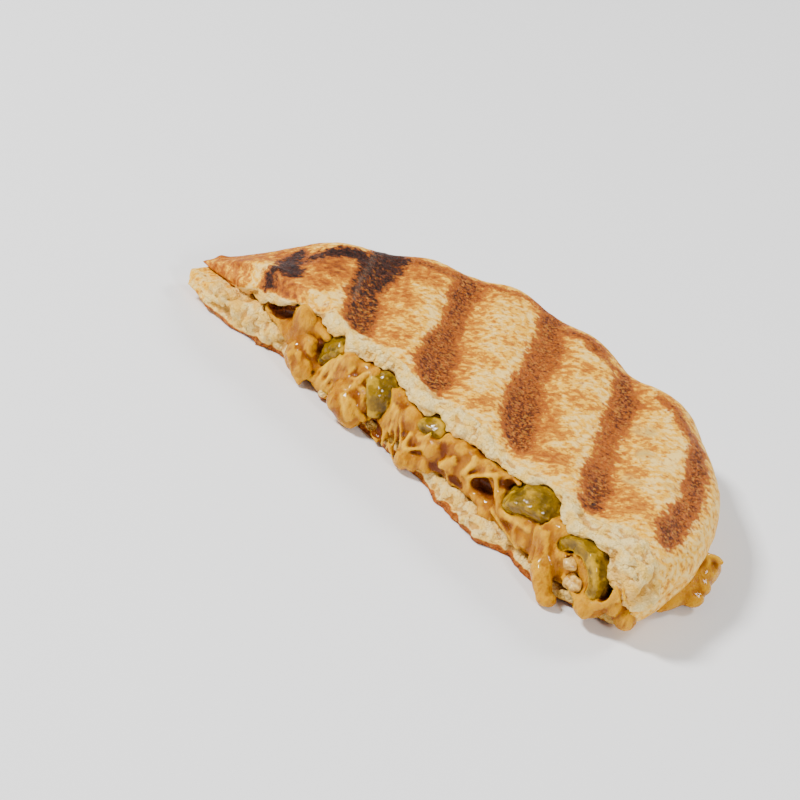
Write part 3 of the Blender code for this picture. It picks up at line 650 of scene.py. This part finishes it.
# Strings pulled across the face: points, half thickness and how pale they are, which also sets a painted
# highlight along them
STRINGS = (
    (((-33.6, -3.8, 5.4), (-31.7, -3.4, 1.8), (-29.0, -3.2, 0.9)), 0.60, 0.3),
    (((-31.9, -3.5, 6.4), (-30.0, -2.7, 3.7), (-27.9, -1.6, 2.3)), 0.50, 0.4),
    (((-26.4, -1.5, 2.4), (-25.6, -1.5, 5.9), (-24.1, -1.2, 9.2)), 0.45, 1.0),
    (((-24.6, -1.5, 2.4), (-23.4, -1.6, 6.5), (-22.2, -1.3, 10.6)), 0.50, 1.0),
    (((-23.2, -1.3, 2.0), (-21.6, -1.6, 6.7), (-20.5, -1.4, 10.2)), 0.40, 0.8),
    (((-27.4, -0.9, 4.1), (-25.8, -1.2, 7.5), (-23.4, -0.7, 10.9)), 0.40, 1.0),
    (((-26.1, -1.0, 3.6), (-24.4, -1.5, 7.4), (-22.6, -0.9, 10.8)), 0.35, 0.9),
    (((-19.6, -2.3, 8.3), (-19.2, -1.7, 9.6), (-18.9, -1.1, 10.9)), 0.40, 1.0),
    (((-23.1, -1.5, 6.1), (-19.3, -2.5, 8.3), (-17.6, -1.9, 9.4)), 0.35, 0.9),
    (((-16.2, -3.0, 8.4), (-17.1, -1.8, 9.4), (-16.3, -1.1, 11.0)), 0.40, 1.0),
    (((-15.2, -2.6, 8.4), (-16.2, -1.5, 9.8), (-15.6, -0.9, 11.8)), 0.35, 0.9),
    (((-16.6, -3.2, 8.6), (-14.8, -2.5, 8.3), (-14.2, -1.6, 9.2)), 0.45, 0.9),
    (((-16.4, -5.2, 6.9), (-14.8, -5.5, 4.9), (-13.3, -4.7, 2.6)), 0.45, 1.0),
    (((-15.1, -4.8, 7.2), (-13.8, -5.0, 5.0), (-12.8, -4.4, 3.3)), 0.35, 0.8),
    (((-14.1, -4.0, 7.0), (-13.2, -4.2, 5.7), (-12.2, -3.5, 4.4)), 0.35, 0.8),
    (((-12.4, -2.6, 4.4), (-10.4, -1.3, 2.0), (-7.4, -1.2, 0.8)), 0.50, 0.5),
    (((-6.8, -1.2, 10.3), (-6.4, -1.6, 7.5), (-6.8, -1.1, 3.8), (-6.0, -1.5, 1.0)), 0.35, 0.9),
    (((-6.0, -1.2, 10.5), (-5.1, -1.8, 7.9), (-5.4, -1.1, 3.7), (-4.6, -1.5, 1.0)), 0.32, 1.0),
    (((-5.3, -1.2, 10.4), (-4.1, -1.9, 8.1), (-3.9, -1.0, 3.7), (-2.8, -1.3, 0.8)), 0.35, 0.9),
    (((-4.7, -1.2, 10.2), (-3.0, -1.8, 7.9), (-0.9, -2.8, 5.0)), 0.32, 0.8),
    (((0.1, -2.9, 5.7), (-0.4, -2.0, 6.9), (0.2, -1.9, 8.4)), 0.55, 1.0),
    (((0.2, -3.2, 5.1), (1.9, -2.4, 5.7), (4.4, -2.0, 8.1)), 0.45, 1.0),
    (((2.1, -2.0, 8.1), (3.2, -1.9, 9.5), (4.4, -1.7, 11.2)), 0.35, 0.8),
    (((-4.4, -1.5, 2.6), (-2.2, -2.6, 1.6), (-0.2, -2.8, 0.9)), 0.50, 0.6),
    (((8.6, -1.3, 6.4), (9.8, -1.6, 8.1), (11.4, -1.2, 9.6)), 0.85, 1.0),
    (((13.9, -1.0, 8.0), (14.7, -1.1, 10.4), (15.9, -0.9, 12.0), (14.6, -0.7, 12.9)), 0.60, 1.0),
    (((14.9, -0.7, 7.6), (16.2, -0.8, 9.4), (19.2, -1.0, 11.6), (21.4, -0.8, 13.0)), 0.55, 1.0),
    (((15.9, -0.7, 6.6), (15.3, -0.5, 7.6), (15.8, -0.3, 8.9)), 0.45, 0.9),
    (((20.7, -0.8, 12.6), (22.2, -0.9, 11.0), (22.9, -1.1, 8.9)), 0.50, 0.7),
    (((22.4, -0.7, 6.2), (25.6, -0.9, 4.8), (28.4, -0.9, 4.2), (31.6, -1.2, 3.4)), 0.50, 0.9),
    (((25.6, -0.9, 7.6), (28.8, -1.5, 7.8), (32.6, -1.5, 8.4)), 0.42, 1.0),
    (((34.3, -1.5, 10.2), (34.9, -1.5, 6.8), (35.2, -1.2, 2.9)), 0.50, 0.2),
    (((35.2, -1.6, 10.4), (35.9, -1.5, 7.2), (37.4, -3.0, 4.4)), 0.42, 0.6),
    (((36.0, -1.7, 10.9), (37.0, -1.8, 8.0), (38.8, -3.4, 5.2)), 0.45, 0.2),
    (((36.8, -1.9, 11.2), (37.8, -1.9, 8.7), (39.6, -3.0, 6.4)), 0.40, 0.6),
    (((42.9, -1.1, 5.3), (46.4, -2.6, 5.2), (48.9, -3.0, 4.6)), 0.55, 0.4),
    (((50.6, -2.4, 4.6), (52.2, -1.2, 5.6), (53.9, -0.6, 7.6), (54.2, -0.2, 10.0)), 0.90, 0.3),
    (((53.2, -0.2, 10.8), (54.8, -0.4, 9.8), (55.3, -0.3, 8.4)), 0.40, 0.9),
    (((54.7, -0.1, 11.4), (55.9, -0.5, 10.6), (56.4, -0.2, 9.2)), 0.38, 0.9),
    (((50.0, 30.2, 5.9), (50.6, 31.4, 7.6), (51.4, 33.2, 7.2), (52.4, 34.0, 5.8)), 0.75, 1.0),
    (((52.6, 31.2, 4.6), (52.0, 30.4, 5.8), (51.2, 31.0, 6.6)), 0.50, 0.9),
)
# Dark places: painted shade where the cheese lies deep, and amber where it is thin: x, z, half width,
# half height and strength
AMBER_AND_SHADE = (
    (-43.6, 9.0, 4.2, 2.8, 1.0), (-40.4, 10.4, 2.6, 2.4, 1.0), (-29.6, 9.0, 1.6, 2.6, 0.7),
    (-18.0, 12.4, 2.4, 1.2, 0.5), (-9.2, 3.0, 3.6, 2.2, 0.85), (-6.6, 11.2, 1.2, 2.6, 0.5),
    (-1.6, 11.6, 3.2, 1.4, 0.55), (7.2, 9.8, 2.2, 2.0, 0.5), (8.0, 4.6, 3.0, 1.4, 0.55),
    (13.0, 5.6, 3.0, 1.6, 0.75), (18.6, 8.4, 3.6, 2.4, 0.78), (24.0, 12.0, 2.4, 2.0, 0.85),
    (26.6, 6.4, 3.0, 1.6, 0.5), (33.6, 11.4, 1.8, 1.6, 0.8), (48.4, 4.2, 2.0, 1.8, 0.5),
    (52.0, 9.0, 2.4, 3.4, 0.95), (42.4, 9.4, 1.6, 1.4, 0.75),
)

# Colours, as screen values. The amber one also serves as painted shade in the deep places and hollows,
# and the crest one is painted light on the crests.
CHEESE_GOLD = ((178, 114, 0), (138, 72, 0))
CHEESE_CREST_LIGHT = (206, 146, 0)
CHEESE_AMBER_SHADE = (108, 48, 0)
CHEESE_CREAM_HIGHLIGHT = (246, 190, 34)


def string(points, half_thickness):
    """One string of cheese along its points, thickest at its ends."""
    bpy.ops.curve.primitive_nurbs_path_add(radius=1.0)
    path = bpy.context.object
    path.data.splines.clear()
    spline = path.data.splines.new("NURBS")
    spline.points.add(len(points) - 1)
    spline.order_u = min(4, len(points))
    spline.use_endpoint_u = True
    path.location = (0.0, 0.0, 0.0)
    for index, (point, place) in enumerate(zip(spline.points, points)):
        point.co = (*(BUN_MIDDLE + Vector(place) * MM), 1.0)
        point.radius = 1.25 if index in (0, len(points) - 1) else 0.9
    path.data.bevel_depth = STRING_WIDTH * half_thickness * MM
    path.data.bevel_resolution = 2
    path.data.use_fill_caps = True
    only(path)
    bpy.ops.object.convert(target="MESH")
    return bpy.context.object


def pull_cheese(piece):
    """Folds the cheese where it shows. It paints the painted shade of its deep places and hollows, the
    darker tone of thin cheese, and the cream and painted highlight of the strings.
    """
    places, normals = spots(piece)
    x, y, z = places.T
    from_middle = np.hypot(x, y)
    shown = 1.0 - step(y, 2.5, 6.0) * (1.0 - step(from_middle, 54.0, 56.5))
    drawn = np.stack([x + 0.35 * z, 0.6 * y, 0.32 * z - 0.15 * x], axis=1)
    folds = sum(tall * (1.0 - 2.0 * np.abs(field(drawn, size, 40 + index)))
                for index, (size, tall) in enumerate(CHEESE_FOLDS))
    # pale: the cream of stretched cheese, with a painted highlight along each string
    pale = np.zeros(len(x))
    for points, half_thickness, paleness_and_highlight in STRINGS:
        line = np.array(points)
        for first, second in zip(line, line[1:]):
            run = second - first
            share = np.clip((places - first) @ run / (run @ run), 0.0, 1.0)
            away = np.linalg.norm(places - first - share[:, None] * run, axis=1)
            near = 1.0 - step(away, 0.3 * half_thickness, half_thickness + 0.9)
            pale = np.maximum(pale, paleness_and_highlight * near)
    pale = np.maximum(pale, 0.5 * step(y, 16.0, 22.0))
    # painted shade in the listed deep places, along with the darker tone of thin cheese
    amber = np.zeros(len(x))
    for px, pz, wide, tall, strength in AMBER_AND_SHADE:
        away = np.hypot((x - px) / wide, (z - pz) / tall)
        amber = np.maximum(amber, strength * (1.0 - step(away, 0.5, 1.15)) * (y < 12.0))
    deep = step(amber, 0.6, 1.0)
    # painted shade on the cheese set back behind the torn face, between the bread layers
    amber = np.maximum(amber, 0.7 * step(y, 0.6, 3.0) * (1.0 - step(from_middle, *RIM)))
    folds *= 1.0 - 0.9 * step(y, 8.0, 14.0)
    push(piece, places, normals, shown * (1.0 - pale) * (0.65 * folds - 1.2 * deep))
    # hollow is read by the material to paint shade into the cheese's hollows and light onto its crests
    paint(piece, amber=amber * (1.0 - 0.8 * pale), pale=pale, hollow=hollowness(piece, 20, 0.32))


def melted_cheese_material():
    """Golden and glossy, darker orange where it is thin, with painted shade where it lies deep and in
    its hollows, painted light on its crests, and cream with a painted highlight where it is stretched.
    """
    material, nodes, shader = new_material("melted_cheese", {
        "Specular IOR Level": 0.04, "Coat Weight": 0.26, "Coat Roughness": 0.03,
        "Subsurface Weight": 0.35, "Subsurface Radius": (1.0, 0.55, 0.04), "Subsurface Scale": 0.0016})
    wide = nodes.patches(5.0, 2.0)
    threads = nodes.patches(1.3, 3.0, (1.0, 1.0, 0.3))
    fine = nodes.patches(0.5, 2.0)
    hollow, pale = nodes.read("hollow"), nodes.read("pale")
    gold = nodes.mix(wide, *CHEESE_GOLD)
    # painted light: the crests, away from the hollows, turn a lighter yellow
    crest_light = nodes.total((hollow, -1.0), (threads, 0.40), (pale, 0.5), (1.0, 0.8))
    gold = nodes.mix(nodes.ramp(crest_light, 0.66, 1.18), gold, CHEESE_CREST_LIGHT)
    # painted shade: amber in the listed places and where the surface is hollow
    dark = nodes.total((nodes.read("amber"), 1.0), (wide, 0.15), (threads, -0.2), (hollow, 1.0),
                       (1.0, -0.42))
    gold = nodes.mix(nodes.ramp(dark, 0.05, 0.65), gold, CHEESE_AMBER_SHADE)
    # cream of stretched cheese with a painted highlight, less of it in the hollows
    cream_and_highlight = nodes.total((pale, 0.75), (threads, 0.35), (hollow, -0.5), (1.0, 0.25))
    gold = nodes.mix(nodes.ramp(cream_and_highlight, 0.80, 1.40), gold, CHEESE_CREAM_HIGHLIGHT)
    nodes.feed(shader.inputs["Base Color"], gold)
    nodes.feed(shader.inputs["Roughness"], nodes.total((fine, 0.16), (1.0, 0.18)))
    relief = nodes.total((threads, 0.9), (fine, 0.35))
    nodes.feed(shader.inputs["Normal"], nodes.bump(relief, 0.5, 0.45))
    return material


melted_cheese = melted_cheese_material()
cheese = node_copy("cheese_filling", "cheese_melted")
remesh(cheese, *CHEESE_EASING)
cheese_strings = [string(points, half_thickness) for points, half_thickness, _ in STRINGS]
grow_together(cheese, [balls(CHEESE_LUMPS, "lumps")] + cheese_strings)
remesh(cheese, CHEESE_VOXEL, CHEESE_SMOOTHING)
pull_cheese(cheese)
cheese.data.materials.append(melted_cheese)
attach(cheese, "root")
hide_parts("cheese_filling")


# GREEN PEPPER. Slices of cooked green pepper that lie in the cheese: a ring cut across the
# pepper and four smaller pieces of its wall, each with a tight skin outside and wet flesh inside.
PEPPER_VOXEL = 0.25
PEPPER_SMOOTHING = 6
PEPPER_GREEN = ((82, 60, 0), (138, 102, 0))
PEPPER_FLESH = (196, 152, 14)
RING_MIDDLE = (44.7, 6.9)


def green_pepper_material():
    """Olive and glossy, yellower on the cut flesh, with dark patches and painted shade in its hollows.
    """
    material, nodes, shader = new_material("green_pepper", {
        "Specular IOR Level": 0.06, "Coat Weight": 0.40, "Coat Roughness": 0.03})
    wide = nodes.patches(3.2, 3.0)
    fine = nodes.patches(0.7, 3.0)
    flesh = nodes.read("flesh")
    colour = nodes.mix(wide, *PEPPER_GREEN)
    # painted shade: the flesh's yellow fades back to olive where the surface is hollow
    light = nodes.total((flesh, 1.0), (fine, 0.3), (nodes.read("hollow"), -0.9), (1.0, 0.45))
    colour = nodes.mix(nodes.ramp(light, 0.35, 1.25), colour, PEPPER_FLESH)
    nodes.feed(shader.inputs["Base Color"], colour)
    nodes.feed(shader.inputs["Roughness"], nodes.total((flesh, 0.25), (fine, 0.1), (1.0, 0.14)))
    nodes.feed(shader.inputs["Normal"], nodes.bump(nodes.total((fine, 0.7), (wide, 0.3)), 0.5, 0.3))
    return material


green_pepper = green_pepper_material()
for node_name in ("pepper_ring", "pepper_chunk", "pepper_bit", "pepper_middle", "pepper_left"):
    slice_piece = node_copy(node_name, node_name + "_cooked")
    remesh(slice_piece, PEPPER_VOXEL, PEPPER_SMOOTHING)
    places, normals = spots(slice_piece)
    flesh = 0.6 * step(field(places, 2.0, 63), -0.3, 1.0)
    if node_name == "pepper_ring":
        to_middle = np.stack([RING_MIDDLE[0] - places[:, 0], RING_MIDDLE[1] - places[:, 2]], axis=1)
        to_middle /= np.linalg.norm(to_middle, axis=1)[:, None]
        inward = (normals[:, (0, 2)] * to_middle).sum(axis=1)
        flesh = np.maximum(flesh, 0.9 * step(inward, 0.1, 0.7))
    push(slice_piece, places, normals,
         0.30 * field(places, 1.8, 61) + 0.16 * field(places, 0.8, 62) + 0.12)
    # hollow is read by the material to paint shade into the slice's hollows
    paint(slice_piece, flesh=flesh, hollow=hollowness(slice_piece, 12, 0.15))
    slice_piece.data.materials.append(green_pepper)
    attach(slice_piece, "root")
    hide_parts(node_name)


# PEPPER CORE. Two pale wet lumps of the pepper's soft core, which was cut with the ring and
# cooked inside it. They lie against the ring's wall, half sunk in the cheese.
CORE_SMOOTHING = 4
CORE_CREAM = ((248, 206, 110), (172, 118, 20))


def pepper_core_material():
    """Cream and wet, mottled with tan."""
    material, nodes, shader = new_material("pepper_core", {
        "Roughness": 0.3, "Specular IOR Level": 0.35, "Coat Weight": 0.3})
    mottle = nodes.patches(1.0, 3.0)
    nodes.feed(shader.inputs["Base Color"], nodes.mix(mottle, *CORE_CREAM))
    nodes.feed(shader.inputs["Normal"], nodes.bump(mottle, 0.5, 0.3))
    return material


pepper_core = pepper_core_material()
for node_name in ("pepper_pith_large", "pepper_pith_small"):
    core = node_copy(node_name, node_name + "_cooked")
    remesh(core, PEPPER_VOXEL, CORE_SMOOTHING)
    places, normals = spots(core)
    push(core, places, normals, 0.45 * field(places, 1.1, 71) + 0.25)
    core.data.materials.append(pepper_core)
    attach(core, "root")
    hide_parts(node_name)
